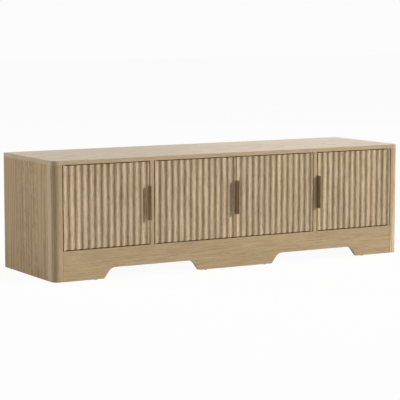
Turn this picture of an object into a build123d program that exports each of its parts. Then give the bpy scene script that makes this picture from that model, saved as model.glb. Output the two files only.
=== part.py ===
from build123d import *
from dataclasses import dataclass
from math import atan, cos, sin
from typing import Callable
import os

# Low oak media cabinet: four fluted doors in three bays, on panel sides and an apron with three feet.
# Millimetres, +Z up, front towards -Y. The origin is on the floor, under the middle of the whole outline.

# Whole cabinet
WIDTH = 1800.0
DEPTH = 516.0
HEIGHT = 518.0
BOARD = 18.0
GLIDE_DROP = 2.0
CORNER_RADIUS = 30.0
POST_WIDTH = 44.0
POST_DEPTH = 60.0
POST_EASE = 4.0
TOP_EASE = 1.2
DIVIDER = 20.0
DIVIDER_EASE = 2.0
APRON_HEIGHT = 131.0

# Doors
GAP = 4.0
GAPS_IN_HALF = 3.5
DOOR_SETBACK = 1.0
DOOR_THICKNESS = 22.0
FLUTES = 13
FLUTE_DEPTH = 6.5
RIDGE_RADIUS = 11.0
EDGE_LAND = 3.25

# Apron cut-outs, measured at the floor and at their top
CUTOUT_OUTER = 663.0
CUTOUT_INNER = 191.0
CUTOUT_RUN = 36.0
CUTOUT_HEIGHT = 46.0
CUTOUT_ROUND = 40.0
FOOT_ROUND = 6.0

# Edge pulls, bent from plate
PULL_REACH = 22.0
PULL_HEIGHT = 150.0
PULL_PLATE = 3.0
PULL_FLANGE = 24.0
PULL_ROUND = 2.0
PULL_SCREW_SPREAD = 100.0

# Knife hinges: the pin stands near the front corner of the door's hinged edge
PIVOT_IN = 5.0
PIVOT_BACK = 5.5
EYE_RADIUS = 3.5
PIN_RADIUS = 2.0
PIN_PLAY = 0.3
PIN_PAST_LEAF = 2.0
LEAF = 2.5
LEAF_LENGTH = 62.0
LEAF_BAR_FRONT = 8.0
LEAF_BAR_BACK = 17.0
LEAF_SCREWS_AT = (26.0, 50.0)
LEAF_PLAY = 0.1

# Shelves and pins
SHELF = 18.0
SHELF_FRONT = 66.0
SHELF_CABLE_GAP = 24.0
SHELF_UNDERSIDE = 305.0
SHELF_END_PLAY = 1.0
PIN_STEM_RADIUS = 2.4
PIN_HEAD_RADIUS = 3.5
PIN_HEAD = 7.0
PIN_HOLE_RADIUS = 2.5
PIN_HOLE_DEPTH = 9.0
PIN_HOLE_PITCH = 64.0
PIN_ROWS_IN = 60.0

# Back
BACK_PANEL = 6.0
RABBET_DEPTH = 8.0
RABBET_WIDTH = 9.0
BACK_PLAY = 0.5
CABLE_HOLE_RADIUS = 30.0

# Carcass fittings
CAM_RADIUS = 7.5
CAM_DEPTH = 12.5
CAM_FROM_EDGE = 24.0
CAM_PLAY = 0.2
BOLT_RADIUS = 3.5
BOLT_THREAD_RADIUS = 2.5
BOLT_THREAD = 11.0
CAM_ROWS_IN = 110.0
DOWEL_RADIUS = 4.0
DOWEL_LENGTH = 30.0
DOWEL_HEIGHTS = (76.0, 108.0)
TONGUE_WIDTH = 6.0
TONGUE_DEPTH = 10.0
FIT_PLAY = 0.1
BLOCK_LEG = 24.0
BLOCK_LENGTH = 60.0
BLOCKS = 5
BLOCK_PITCH = 321.0
GLIDE_RADIUS = 8.0
GLIDE_STEM_RADIUS = 2.0
GLIDE_STEM = 9.0
GLIDE_EASE = 0.5
HOLE_SPARE = 1.0

# Screws
SCREW_RADIUS = 1.75
SCREW_HEAD_RADIUS = 3.4
SCREW_HEAD = 1.9
HINGE_SCREW = 13.0
PULL_SCREW = 12.0
BACK_SCREW = 15.0
BACK_SCREW_IN = 5.0
BACK_SCREW_SHARES = (0.25, 0.75)
DIVIDER_SCREW_RADIUS = 2.5
DIVIDER_SCREW_HEAD_RADIUS = 4.75
DIVIDER_SCREW_HEAD = 2.8
DIVIDER_SCREW = 50.0

# Magnetic catches under the top, one to a door
CATCH_WIDTH = 46.0
CATCH_DEPTH = 20.0
CATCH_DROP = 13.0
CATCH_FROM_EDGE = 58.0
CATCH_SCREW_SPREAD = 34.0
CATCH_EAR = 3.0
MAGNET_WIDTH = 20.0
MAGNET_DEPTH = 8.0
MAGNET_HEIGHT = 8.0
STRIKE_WIDTH = 28.0
STRIKE_HEIGHT = 12.0
STRIKE_PLATE = 1.2
STRIKE_GAP = 0.4

# Planes worked out from the sizes above
FIN_PROUD = PULL_REACH - DOOR_SETBACK
FRONT = (FIN_PROUD - DEPTH) / 2
BACK = FRONT + DEPTH
BASE = GLIDE_DROP
TOP_UNDER = HEIGHT - BOARD
FLOOR_TOP = BASE + APRON_HEIGHT
FLOOR_UNDER = FLOOR_TOP - BOARD
SIDE_OUT = WIDTH / 2
SIDE_IN = SIDE_OUT - BOARD
OPENING = SIDE_OUT - POST_WIDTH
DOOR_WIDTH = (OPENING - GAPS_IN_HALF * GAP - DIVIDER) / 2
DIVIDER_OUT = OPENING - 2 * GAP - DOOR_WIDTH
DIVIDER_IN = DIVIDER_OUT - DIVIDER
DIVIDER_MIDDLE = (DIVIDER_IN + DIVIDER_OUT) / 2
DOOR_FACE = FRONT + DOOR_SETBACK
DOOR_BACK = DOOR_FACE + DOOR_THICKNESS
DOOR_LOW = FLOOR_TOP + GAP
DOOR_HIGH = TOP_UNDER - GAP
DOOR_MIDDLE = (DOOR_LOW + DOOR_HIGH) / 2
APRON_BACK = DOOR_FACE + BOARD
INNER_BACK = BACK - RABBET_DEPTH
PIVOT_Y = DOOR_FACE + PIVOT_BACK
FLUTE_PITCH = (DOOR_WIDTH - 2 * EDGE_LAND) / FLUTES
SHELF_Y = (FRONT + SHELF_FRONT, INNER_BACK - SHELF_CABLE_GAP)
PIN_Y = (SHELF_Y[0] + PIN_ROWS_IN, SHELF_Y[1] - PIN_ROWS_IN)
PIN_Z = SHELF_UNDERSIDE - PIN_HEAD_RADIUS - FIT_PLAY / 2
CAM_Y = (FRONT + CAM_ROWS_IN, INNER_BACK - CAM_ROWS_IN)
SIDES = {"left": -1, "right": 1}
BAYS = {
    "left": (-SIDE_IN, -DIVIDER_OUT),
    "centre": (-DIVIDER_IN, DIVIDER_IN),
    "right": (DIVIDER_OUT, SIDE_IN),
}
Limits = tuple[float, float]
Point = tuple[float, float, float]
UP = (0, 0, 1)
DOWN = (0, 0, -1)
BACKWARD = (0, 1, 0)

# How a round piece lies on a plane: let in against the normal, or standing out along it
LET_IN = (Align.CENTER, Align.CENTER, Align.MAX)
STANDING = (Align.CENTER, Align.CENTER, Align.MIN)


@dataclass(frozen=True)
class Door:
    """One door: its number from the left, its hinged edge, and +1 where it reaches from there to +X."""

    number: int
    hinge_edge: float
    hand: int

    def across(self, distance: float) -> float:
        """X of a point this far from the hinged edge, measured towards the free edge."""
        return self.hinge_edge + self.hand * distance

    @property
    def name(self) -> str:
        return f"door_{self.number}"

    @property
    def free_edge(self) -> float:
        return self.across(DOOR_WIDTH)

    @property
    def left_edge(self) -> float:
        return min(self.hinge_edge, self.free_edge)

    @property
    def pivot(self) -> tuple[float, float]:
        return (self.across(PIVOT_IN), PIVOT_Y)

    @property
    def catch_middle(self) -> float:
        return self.across(DOOR_WIDTH - CATCH_FROM_EDGE)


DOORS = (
    Door(1, GAP - OPENING, 1),
    Door(2, GAP - DIVIDER_IN, 1),
    Door(3, DIVIDER_IN - GAP, -1),
    Door(4, OPENING - GAP, -1),
)


def save(piece: BuildPart, name: str) -> None:
    """Labels a finished piece and writes it under its own name."""
    piece.part.label = name
    export_step(piece.part, f"parts/{name}.step")


def block(x: Limits, y: Limits, z: Limits, mode: Mode = Mode.ADD) -> None:
    """Adds or cuts a box between two limits on each axis."""
    with Locations(((x[0] + x[1]) / 2, (y[0] + y[1]) / 2, (z[0] + z[1]) / 2)):
        Box(abs(x[1] - x[0]), abs(y[1] - y[0]), abs(z[1] - z[0]), mode=mode)


def looking(points: list[Point], direction: Point) -> list[Plane]:
    """Planes at these points whose normals point the way that a screw's head or a hole's mouth faces."""
    return [Plane(origin=point, z_dir=direction) for point in points]


def drill(planes: list[Plane], radius: float, depth: float) -> None:
    """Cuts a round hole of this depth from each plane, against its normal."""
    with Locations(*planes):
        Cylinder(radius, depth, align=LET_IN, mode=Mode.SUBTRACT)


def flat_head_screws(
    planes: list[Plane],
    length: float,
    radius: float = SCREW_RADIUS,
    head_radius: float = SCREW_HEAD_RADIUS,
    head: float = SCREW_HEAD,
) -> None:
    """Adds countersunk screws whose heads lie flush with the planes."""
    with Locations(*planes):
        Cylinder(radius, length, align=LET_IN)
        Cone(radius, head_radius, head, align=LET_IN)


def countersink(
    planes: list[Plane],
    depth: float,
    radius: float = SCREW_RADIUS,
    head_radius: float = SCREW_HEAD_RADIUS,
    head: float = SCREW_HEAD,
) -> None:
    """Cuts the seats that countersunk screws of these sizes lie in, with a little play."""
    radius += FIT_PLAY
    head_radius += FIT_PLAY
    with Locations(*planes):
        Cylinder(radius, depth, align=LET_IN, mode=Mode.SUBTRACT)
        Cone(radius, head_radius, head, align=LET_IN, mode=Mode.SUBTRACT)


def pilot(planes: list[Plane], depth: float) -> None:
    """Cuts the holes that the wood screws bite in."""
    drill(planes, SCREW_RADIUS + FIT_PLAY / 2, depth)


def pan_head_screws(planes: list[Plane], length: float) -> None:
    """Adds pan-head screws whose heads stand on the planes."""
    with Locations(*planes):
        Cylinder(SCREW_RADIUS, length, align=LET_IN)
        Cylinder(SCREW_HEAD_RADIUS, SCREW_HEAD, align=STANDING)


def leaf_outline(door: Door, height: float, play: float = 0.0) -> Sketch:
    """The offset leaf of a knife hinge: an eye at the pin, a neck running back and a bar along the door."""
    with BuildSketch(Plane.XY.offset(height)) as outline:
        with Locations(door.pivot):
            Circle(EYE_RADIUS + play)
        with Locations((door.pivot[0], (PIVOT_Y + DOOR_FACE + LEAF_BAR_BACK) / 2 + play / 2)):
            Rectangle(2 * (EYE_RADIUS + play), DOOR_FACE + LEAF_BAR_BACK - PIVOT_Y + play)
        with Locations(((door.pivot[0] + door.across(LEAF_LENGTH + play)) / 2,
                        DOOR_FACE + (LEAF_BAR_FRONT + LEAF_BAR_BACK) / 2)):
            Rectangle(LEAF_LENGTH + play - PIVOT_IN, LEAF_BAR_BACK - LEAF_BAR_FRONT + 2 * play)
    return outline.sketch


def leaf_screw_points(door: Door, height: float) -> list[Point]:
    """Where the screws of one leaf lie, at this height."""
    middle = DOOR_FACE + (LEAF_BAR_FRONT + LEAF_BAR_BACK) / 2
    return [(door.across(distance), middle, height) for distance in LEAF_SCREWS_AT]


def pin_hole_points(x: float) -> list[Point]:
    """The shelf-pin holes on one upright face: two rows of three."""
    return [(x, y, PIN_Z + step * PIN_HOLE_PITCH) for y in PIN_Y for step in (-1, 0, 1)]


def cam_uprights() -> list[tuple[float, float, int]]:
    """The uprights under the top: middle plane, cam face, and the way that this face looks along X."""
    uprights = []
    for side in SIDES.values():
        uprights.append((side * (SIDE_IN + BOARD / 2), side * SIDE_IN, -side))
        uprights.append((side * DIVIDER_MIDDLE, side * DIVIDER_OUT, side))
    return uprights


def cut_cam_seat(face_points: list[Point], face: Point, edge_points: list[Point], edge: Point) -> None:
    """Cuts the seat of a cam disc in a face and the bolt hole that reaches it from the board's edge."""
    drill(looking(face_points, face), CAM_RADIUS, CAM_DEPTH)
    drill(looking(edge_points, edge), BOLT_RADIUS + FIT_PLAY, CAM_FROM_EDGE)


def apron_outline(half_width: float, top: float, back: float) -> Sketch:
    """An apron board seen from the front: three feet with two cut-outs between them, sloped at the ends."""
    with BuildSketch(Plane.XZ.offset(-back)) as outline:
        with Locations((0, (BASE + top) / 2)):
            Rectangle(2 * half_width, top - BASE)
        ceiling = BASE + CUTOUT_HEIGHT
        for side in SIDES.values():
            corners = [
                (side * CUTOUT_INNER, BASE),
                (side * (CUTOUT_INNER + CUTOUT_RUN), ceiling),
                (side * (CUTOUT_OUTER - CUTOUT_RUN), ceiling),
                (side * CUTOUT_OUTER, BASE),
            ]
            with BuildLine():
                Polyline(*corners, close=True)
            make_face(mode=Mode.SUBTRACT)
        fillet(outline.vertices().filter_by(lambda v: abs(v.Y - ceiling) < FIT_PLAY), CUTOUT_ROUND)
        toes = outline.vertices().group_by(Axis.Y)[0].sort_by(Axis.X)[1:-1]
        fillet(toes, FOOT_ROUND)
    return outline.sketch


def door_outline(door: Door) -> Sketch:
    """A door in plan: a flat back and a front of round-bottomed flutes between rounded ridges."""
    half = FLUTE_PITCH / 2
    slope = 2 * atan(FLUTE_DEPTH / half)
    flank = RIDGE_RADIUS * sin(slope)
    flank_depth = RIDGE_RADIUS * (1 - cos(slope))
    shoulder = RIDGE_RADIUS * sin(slope / 2)
    shoulder_depth = RIDGE_RADIUS * (1 - cos(slope / 2))
    left, right = door.left_edge, door.left_edge + DOOR_WIDTH
    first, last = left + EDGE_LAND, right - EDGE_LAND
    with BuildSketch() as outline:
        with BuildLine():
            Polyline((first, DOOR_FACE), (left, DOOR_FACE), (left, DOOR_BACK), (right, DOOR_BACK),
                     (right, DOOR_FACE), (last, DOOR_FACE))
            ThreePointArc((first, DOOR_FACE), (first + shoulder, DOOR_FACE + shoulder_depth),
                          (first + flank, DOOR_FACE + flank_depth))
            for flute in range(FLUTES):
                crest = first + flute * FLUTE_PITCH
                entry = (crest + flank, DOOR_FACE + flank_depth)
                leave = (crest + FLUTE_PITCH - flank, DOOR_FACE + flank_depth)
                ThreePointArc(entry, (crest + half, DOOR_FACE + FLUTE_DEPTH), leave)
                if flute < FLUTES - 1:
                    ThreePointArc(leave, (crest + FLUTE_PITCH, DOOR_FACE),
                                  (crest + FLUTE_PITCH + flank, DOOR_FACE + flank_depth))
            ThreePointArc((last - flank, DOOR_FACE + flank_depth),
                          (last - shoulder, DOOR_FACE + shoulder_depth), (last, DOOR_FACE))
        make_face()
    return outline.sketch


def pull_outline(door: Door) -> Sketch:
    """The bent plate of a pull in plan: a fin in front, a web along the door's edge, a flange behind."""
    edge, hand = door.free_edge, -door.hand
    fin_tip = DOOR_FACE - PULL_REACH
    flange_back = DOOR_BACK + PULL_PLATE
    with BuildSketch() as outline:
        with BuildLine():
            Polyline(
                (edge, fin_tip),
                (edge, flange_back),
                (edge + hand * PULL_FLANGE, flange_back),
                (edge + hand * PULL_FLANGE, DOOR_BACK),
                (edge + hand * PULL_PLATE, DOOR_BACK),
                (edge + hand * PULL_PLATE, fin_tip),
                close=True,
            )
        make_face()
        bend = outline.vertices().filter_by(lambda v: abs(v.X - edge) < FIT_PLAY and v.Y > DOOR_BACK)
        fillet(bend, PULL_PLATE - FIT_PLAY)
    return outline.sketch


def pull_screw_points(door: Door, y: float) -> list[Point]:
    """The two screws of a pull, one above the other on the flange."""
    x = door.across(DOOR_WIDTH - (PULL_FLANGE + PULL_PLATE) / 2)
    return [(x, y, DOOR_MIDDLE + way * PULL_SCREW_SPREAD / 2) for way in (-1, 1)]


def strike_screw_points(door: Door, y: float) -> list[Point]:
    """The screw in the middle of a strike plate."""
    return [(door.catch_middle, y, strike_height())]


def strike_height() -> float:
    """Height of the magnet and of the strike plate that it pulls."""
    return TOP_UNDER - CATCH_DROP / 2


def catch_screw_points(door: Door, z: float) -> list[Point]:
    """The two screws that hold a catch up under the top."""
    y = DOOR_BACK + STRIKE_PLATE + STRIKE_GAP + CATCH_DEPTH / 2
    return [(door.catch_middle + way * CATCH_SCREW_SPREAD / 2, y, z) for way in (-1, 1)]


def divider_screw_points(z: float) -> list[Point]:
    """The screws that come up through the bottom panel into the dividers."""
    return [(side * DIVIDER_MIDDLE, y, z) for side in SIDES.values() for y in CAM_Y]


def dowel_points(x: float) -> list[Point]:
    """The dowels at one end of the front apron."""
    return [(x, (DOOR_FACE + APRON_BACK) / 2, height) for height in DOWEL_HEIGHTS]


def back_limits(bay: str) -> Limits:
    """Left and right edge of a back panel: in the side's rabbet, or on the middle of a divider."""
    outer = SIDE_IN + RABBET_WIDTH - BACK_PLAY
    inner = DIVIDER_MIDDLE - BACK_PLAY / 2
    limits = {
        "left": (-outer, -inner - BACK_PLAY),
        "centre": (-inner, inner),
        "right": (inner + BACK_PLAY, outer),
    }
    return limits[bay]


def back_screw_points(bay: str, y: float) -> list[Point]:
    """The screws of one back panel: two down each side, one at the middle of the top and of the bottom."""
    left, right = back_limits(bay)
    columns = (left + BACK_SCREW_IN, right - BACK_SCREW_IN)
    low, high = FLOOR_UNDER + BOARD / 2, TOP_UNDER + RABBET_WIDTH / 2
    sides = [(x, y, low + share * (high - low)) for x in columns for share in BACK_SCREW_SHARES]
    return sides + [((left + right) / 2, y, low), ((left + right) / 2, y, high)]


def back_pilots(in_board: Callable[[Point], bool]) -> None:
    """Cuts the pilot holes of those back-panel screws that bite in this board."""
    points = [point for bay in BAYS for point in back_screw_points(bay, INNER_BACK) if in_board(point)]
    pilot(looking(points, BACKWARD), BACK_SCREW - BACK_PANEL + HOLE_SPARE)


def glide_points() -> list[Point]:
    """Glides under the posts, the rear of the sides and the feet of both aprons."""
    points = []
    for side in SIDES.values():
        points.append((side * (OPENING + POST_WIDTH / 2), FRONT + POST_DEPTH / 2, BASE))
        points.append((side * (SIDE_IN + BOARD / 2), BACK - POST_DEPTH, BASE))
        for x in (CUTOUT_INNER - CUTOUT_RUN, CUTOUT_OUTER + CUTOUT_RUN):
            points.append((side * x, DOOR_FACE + BOARD / 2, BASE))
            points.append((side * x, INNER_BACK - BOARD / 2, BASE))
    return points


def glide_holes(x: Limits, y: Limits) -> None:
    """Cuts the holes of the glides whose stems stand in a board with these limits."""
    points = [p for p in glide_points() if x[0] < p[0] < x[1] and y[0] < p[1] < y[1]]
    drill(looking(points, DOWN), GLIDE_STEM_RADIUS + FIT_PLAY, GLIDE_STEM + HOLE_SPARE)


def make_top() -> None:
    """The top: rounded front corners, eased arris, a rabbet for the backs, seats for hinges and bolts."""
    with BuildPart() as top:
        with BuildSketch(Plane.XY.offset(TOP_UNDER)) as outline:
            with Locations((0, (FRONT + BACK) / 2)):
                Rectangle(WIDTH, DEPTH)
            fillet(outline.vertices().group_by(Axis.Y)[0], CORNER_RADIUS)
        extrude(amount=BOARD)
        fillet(top.faces().sort_by(Axis.Z)[-1].edges(), TOP_EASE)
        rabbet = SIDE_IN + RABBET_WIDTH
        block((-rabbet, rabbet), (INNER_BACK, BACK), (TOP_UNDER, TOP_UNDER + RABBET_WIDTH), Mode.SUBTRACT)
        for door in DOORS:
            extrude(leaf_outline(door, TOP_UNDER, LEAF_PLAY), amount=LEAF, mode=Mode.SUBTRACT)
            pilot(looking(leaf_screw_points(door, TOP_UNDER), DOWN), HINGE_SCREW + HOLE_SPARE)
            pilot(looking(catch_screw_points(door, TOP_UNDER), DOWN), PULL_SCREW)
        bolts = [(middle, y, TOP_UNDER) for middle, _, _ in cam_uprights() for y in CAM_Y]
        drill(looking(bolts, DOWN), BOLT_THREAD_RADIUS + FIT_PLAY, BOLT_THREAD)
        back_pilots(lambda point: point[2] > TOP_UNDER)
    save(top, "top_panel")


def make_side(name: str, side: int) -> None:
    """A side panel: tongue in front, rabbet behind, pin holes and cam seats on its inner face."""
    x = (side * SIDE_IN, side * SIDE_OUT)
    front = FRONT + POST_DEPTH
    middle = side * (SIDE_IN + BOARD / 2)
    inward = (-side, 0, 0)
    with BuildPart() as panel:
        block(x, (front, BACK), (BASE, TOP_UNDER))
        block((middle - TONGUE_WIDTH / 2, middle + TONGUE_WIDTH / 2), (front - TONGUE_DEPTH, front),
              (BASE, TOP_UNDER))
        block((side * SIDE_IN, side * (SIDE_IN + RABBET_WIDTH)), (INNER_BACK, BACK),
              (FLOOR_UNDER, TOP_UNDER), Mode.SUBTRACT)
        drill(looking(pin_hole_points(side * SIDE_IN), inward), PIN_HOLE_RADIUS, PIN_HOLE_DEPTH)
        cut_cam_seat([(side * SIDE_IN, y, TOP_UNDER - CAM_FROM_EDGE) for y in CAM_Y], inward,
                     [(middle, y, TOP_UNDER) for y in CAM_Y], UP)
        drill(looking([(side * SIDE_IN, y, FLOOR_UNDER + BOARD / 2) for y in CAM_Y], inward),
              BOLT_THREAD_RADIUS + FIT_PLAY, BOLT_THREAD)
        glide_holes((min(x), max(x)), (front, BACK))
        back_pilots(lambda point: point[0] * side > SIDE_IN)
    save(panel, f"{name}_side_panel")


def make_post(name: str, side: int) -> None:
    """A front corner post: a quarter round outside, an eased inner arris, a groove for the side panel."""
    x = (side * OPENING, side * SIDE_OUT)
    tongue = side * (SIDE_IN + BOARD / 2)
    with BuildPart() as post:
        with BuildSketch(Plane.XY.offset(BASE)) as outline:
            with Locations(((x[0] + x[1]) / 2, FRONT + POST_DEPTH / 2)):
                Rectangle(POST_WIDTH, POST_DEPTH)
            for corner, radius in ((x[1], CORNER_RADIUS), (x[0], POST_EASE)):
                fillet(outline.vertices().sort_by_distance((corner, FRONT))[0], radius)
        extrude(amount=TOP_UNDER - BASE)
        groove = TONGUE_WIDTH / 2 + FIT_PLAY
        rear = FRONT + POST_DEPTH
        block((tongue - groove, tongue + groove), (rear - TONGUE_DEPTH - FIT_PLAY, rear), (BASE, TOP_UNDER),
              Mode.SUBTRACT)
        drill(looking(dowel_points(side * OPENING), (-side, 0, 0)), DOWEL_RADIUS + FIT_PLAY / 2,
              DOWEL_LENGTH / 2 + HOLE_SPARE)
        glide_holes((min(x), max(x)), (FRONT, rear))
    save(post, f"{name}_corner_post")


def make_bottom() -> None:
    """The floor of the bays, notched round the posts, with cam seats and screw holes from below."""
    with BuildPart() as bottom:
        block((-SIDE_IN, SIDE_IN), (APRON_BACK, INNER_BACK), (FLOOR_UNDER, FLOOR_TOP))
        for side in SIDES.values():
            block((side * OPENING, side * SIDE_IN), (APRON_BACK, FRONT + POST_DEPTH),
                  (FLOOR_UNDER, FLOOR_TOP), Mode.SUBTRACT)
            cut_cam_seat([(side * (SIDE_IN - CAM_FROM_EDGE), y, FLOOR_UNDER) for y in CAM_Y], DOWN,
                         [(side * SIDE_IN, y, FLOOR_UNDER + BOARD / 2) for y in CAM_Y], (side, 0, 0))
        countersink(looking(divider_screw_points(FLOOR_UNDER), DOWN), BOARD, DIVIDER_SCREW_RADIUS,
                    DIVIDER_SCREW_HEAD_RADIUS, DIVIDER_SCREW_HEAD)
        back_pilots(lambda point: point[2] < FLOOR_TOP)
    save(bottom, "bottom_panel")


def make_divider(name: str, side: int) -> None:
    """An upright between two bays, pin holes on both faces and cam seats on the outer one."""
    middle = side * DIVIDER_MIDDLE
    with BuildPart() as divider:
        block((side * DIVIDER_IN, side * DIVIDER_OUT), (DOOR_FACE, INNER_BACK), (FLOOR_TOP, TOP_UNDER))
        fillet(divider.edges().filter_by(Axis.Z).group_by(Axis.Y)[0], DIVIDER_EASE)
        drill(looking(pin_hole_points(side * DIVIDER_OUT), (side, 0, 0)), PIN_HOLE_RADIUS, PIN_HOLE_DEPTH)
        drill(looking(pin_hole_points(side * DIVIDER_IN), (-side, 0, 0)), PIN_HOLE_RADIUS, PIN_HOLE_DEPTH)
        cut_cam_seat([(side * DIVIDER_OUT, y, TOP_UNDER - CAM_FROM_EDGE) for y in CAM_Y], (side, 0, 0),
                     [(middle, y, TOP_UNDER) for y in CAM_Y], UP)
        drill(looking([(middle, y, FLOOR_TOP) for y in CAM_Y], DOWN), DIVIDER_SCREW_RADIUS + FIT_PLAY,
              DIVIDER_SCREW - BOARD + HOLE_SPARE)
        back_pilots(lambda point: abs(point[0] - middle) < DIVIDER / 2)
    save(divider, f"{name}_divider")


def make_front_apron() -> None:
    """The front apron between the posts, with the lower hinge seats in its upper edge."""
    with BuildPart() as apron:
        extrude(apron_outline(OPENING, FLOOR_TOP, APRON_BACK), amount=BOARD)
        for door in DOORS:
            extrude(leaf_outline(door, FLOOR_TOP, LEAF_PLAY), amount=-LEAF, mode=Mode.SUBTRACT)
            pilot(looking(leaf_screw_points(door, FLOOR_TOP), UP), HINGE_SCREW + HOLE_SPARE)
        for side in SIDES.values():
            drill(looking(dowel_points(side * OPENING), (side, 0, 0)), DOWEL_RADIUS + FIT_PLAY / 2,
                  DOWEL_LENGTH / 2 + HOLE_SPARE)
        glide_holes((-OPENING, OPENING), (DOOR_FACE, APRON_BACK))
    save(apron, "front_apron")


def make_rear_apron() -> None:
    """The rear apron between the sides, with the same feet as the front one."""
    with BuildPart() as apron:
        extrude(apron_outline(SIDE_IN, FLOOR_UNDER, INNER_BACK), amount=BOARD)
        glide_holes((-SIDE_IN, SIDE_IN), (INNER_BACK - BOARD, INNER_BACK))
    save(apron, "rear_apron")


def make_back(bay: str) -> None:
    """A thin back panel with one round cable hole to each compartment."""
    left, right = back_limits(bay)
    middle = sum(BAYS[bay]) / 2
    rear = INNER_BACK + BACK_PANEL
    with BuildPart() as panel:
        block((left, right), (INNER_BACK, rear), (FLOOR_UNDER, TOP_UNDER + RABBET_WIDTH - BACK_PLAY))
        holes = [(middle, rear, height) for height in cable_hole_heights()]
        drill(looking(holes, BACKWARD), CABLE_HOLE_RADIUS, BACK_PANEL)
        drill(looking(back_screw_points(bay, rear), BACKWARD), SCREW_RADIUS + FIT_PLAY, BACK_PANEL)
    save(panel, f"{bay}_back_panel")


def cable_hole_heights() -> tuple[float, float]:
    """Middle height of the lower and of the upper compartment."""
    return ((FLOOR_TOP + SHELF_UNDERSIDE) / 2, (SHELF_UNDERSIDE + SHELF + TOP_UNDER) / 2)


def make_shelf(bay: str) -> None:
    """A shelf lying on its four pins, short of the back so that cables can drop behind it."""
    left, right = BAYS[bay]
    with BuildPart() as shelf:
        block((left + SHELF_END_PLAY, right - SHELF_END_PLAY), SHELF_Y,
              (SHELF_UNDERSIDE, SHELF_UNDERSIDE + SHELF))
        fillet(shelf.edges().filter_by(Axis.X).group_by(Axis.Y)[0], TOP_EASE)
    save(shelf, f"{bay}_shelf")


def make_shelf_pins() -> None:
    """Four pins to a shelf: a stem in the wall and a thicker head that the shelf lies on."""
    with BuildPart() as pins:
        for left, right in BAYS.values():
            for x, inward in ((left, 1), (right, -1)):
                planes = looking([(x, y, PIN_Z) for y in PIN_Y], (inward, 0, 0))
                with Locations(*planes):
                    Cylinder(PIN_STEM_RADIUS, PIN_HOLE_DEPTH - HOLE_SPARE, align=LET_IN)
                    Cylinder(PIN_HEAD_RADIUS, PIN_HEAD, align=STANDING)
    save(pins, "shelf_pins")


def make_cams() -> None:
    """Cam discs in their seats, each with the slot that takes the head of its bolt."""
    with BuildPart() as discs:
        for face, edge in cam_places():
            with Locations(face):
                Cylinder(CAM_RADIUS - CAM_PLAY, CAM_DEPTH - CAM_PLAY, align=LET_IN)
            with Locations(edge.offset(-CAM_FROM_EDGE - BOLT_RADIUS)):
                Cylinder(BOLT_RADIUS + CAM_PLAY, CAM_FROM_EDGE,
                         align=STANDING, mode=Mode.SUBTRACT)
    save(discs, "cam_discs")


def make_cam_bolts() -> None:
    """Bolts from the cams into the next board: a plain shaft and a thinner threaded end."""
    with BuildPart() as bolts:
        for _, edge in cam_places():
            with Locations(edge):
                Cylinder(BOLT_RADIUS, CAM_FROM_EDGE, align=LET_IN)
                Cylinder(BOLT_THREAD_RADIUS, BOLT_THREAD - HOLE_SPARE, align=STANDING)
    save(bolts, "cam_bolts")


def cam_places() -> list[tuple[Plane, Plane]]:
    """For each cam: the plane of its face, and the plane of the board's edge that its bolt comes out of."""
    places = []
    for middle, face_x, look in cam_uprights():
        for y in CAM_Y:
            face = Plane(origin=(face_x, y, TOP_UNDER - CAM_FROM_EDGE), z_dir=(look, 0, 0))
            places.append((face, Plane(origin=(middle, y, TOP_UNDER), z_dir=UP)))
    for side in SIDES.values():
        for y in CAM_Y:
            face = Plane(origin=(side * (SIDE_IN - CAM_FROM_EDGE), y, FLOOR_UNDER), z_dir=DOWN)
            edge = Plane(origin=(side * SIDE_IN, y, FLOOR_UNDER + BOARD / 2), z_dir=(side, 0, 0))
            places.append((face, edge))
    return places


def make_carcass_fasteners() -> None:
    """The screws under the dividers, the apron's dowels and the screws of the backs."""
    with BuildPart() as divider_screws:
        flat_head_screws(looking(divider_screw_points(FLOOR_UNDER), DOWN), DIVIDER_SCREW,
                         DIVIDER_SCREW_RADIUS, DIVIDER_SCREW_HEAD_RADIUS, DIVIDER_SCREW_HEAD)
    save(divider_screws, "divider_screws")
    with BuildPart() as dowels:
        for side in SIDES.values():
            with Locations(*looking(dowel_points(side * OPENING), (side, 0, 0))):
                Cylinder(DOWEL_RADIUS, DOWEL_LENGTH)
    save(dowels, "apron_dowels")
    with BuildPart() as back_screws:
        for bay in BAYS:
            pan_head_screws(looking(back_screw_points(bay, INNER_BACK + BACK_PANEL), BACKWARD), BACK_SCREW)
    save(back_screws, "back_panel_screws")


def make_blocks() -> None:
    """Three-cornered glue blocks under the bottom panel, along the back of each apron's face."""
    with BuildPart() as blocks:
        for place in range(BLOCKS):
            start = (place - (BLOCKS - 1) / 2) * BLOCK_PITCH - BLOCK_LENGTH / 2
            for y, inward in ((APRON_BACK, 1), (INNER_BACK - BOARD, -1)):
                with BuildSketch(Plane.YZ.offset(start)):
                    with BuildLine():
                        Polyline((y, FLOOR_UNDER), (y + inward * BLOCK_LEG, FLOOR_UNDER),
                                 (y, FLOOR_UNDER - BLOCK_LEG), close=True)
                    make_face()
                extrude(amount=BLOCK_LENGTH)
    save(blocks, "glue_blocks")


def make_glides() -> None:
    """Round glides with a stem in the board above."""
    with BuildPart() as glides:
        with Locations(*looking(glide_points(), DOWN)):
            Cylinder(GLIDE_RADIUS, GLIDE_DROP, align=STANDING)
            Cylinder(GLIDE_STEM_RADIUS, GLIDE_STEM, align=LET_IN)
        fillet(glides.edges().group_by(Axis.Z)[0], GLIDE_EASE)
    save(glides, "floor_glides")


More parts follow.
